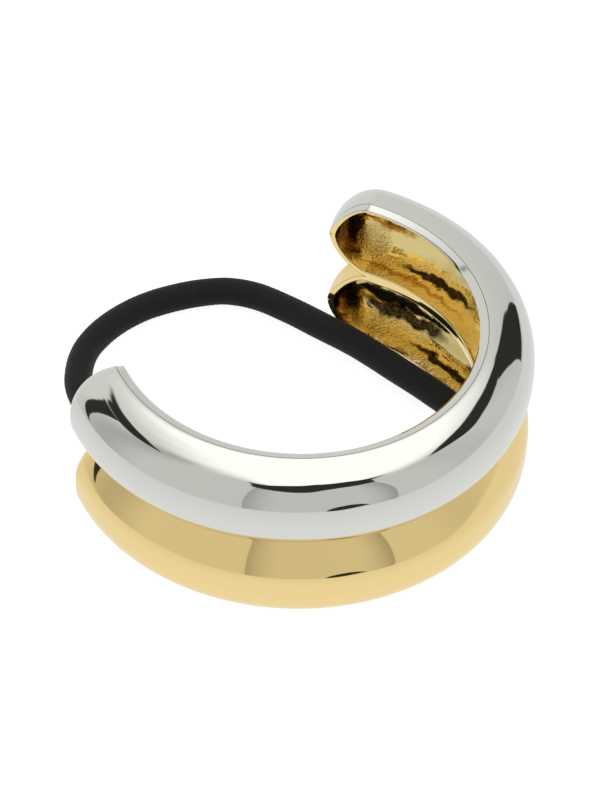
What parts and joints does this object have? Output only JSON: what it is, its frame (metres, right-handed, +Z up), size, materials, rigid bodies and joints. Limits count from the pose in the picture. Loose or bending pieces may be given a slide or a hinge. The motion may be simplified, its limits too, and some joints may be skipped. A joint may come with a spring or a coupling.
{
  "type": "ponytail cuff",
  "caption": "C-shaped ponytail cuff of two hollow half-round bands, one above the other, with a loop of covered elastic.",
  "frame": {"origin": "under the middle of the cast piece's own box, at the height of the surface that its lower band stands on", "axes": "+Z up, through the ponytail; +Y out of the cuff's open side, towards the elastic's loop; +X to the right seen from the closed side, which faces -Y"},
  "size_m": [0.062, 0.0658, 0.024],
  "materials": {
    "gold_plate": "cast zinc alloy, polished outside and rough inside, pale gold plating",
    "silver_plate": "cast zinc alloy, polished, silver plating: the upper band's outside and upper lip",
    "covered_elastic": "braided polyester cover over rubber strands, black, matt",
    "clamp_brass": "drawn brass tube, plain"
  },
  "bodies": {
    "root": {"double_band": "gold_plate", "elastic_loop": "covered_elastic", "elastic_clamp": "clamp_brass"}
  },
  "joints": []
}
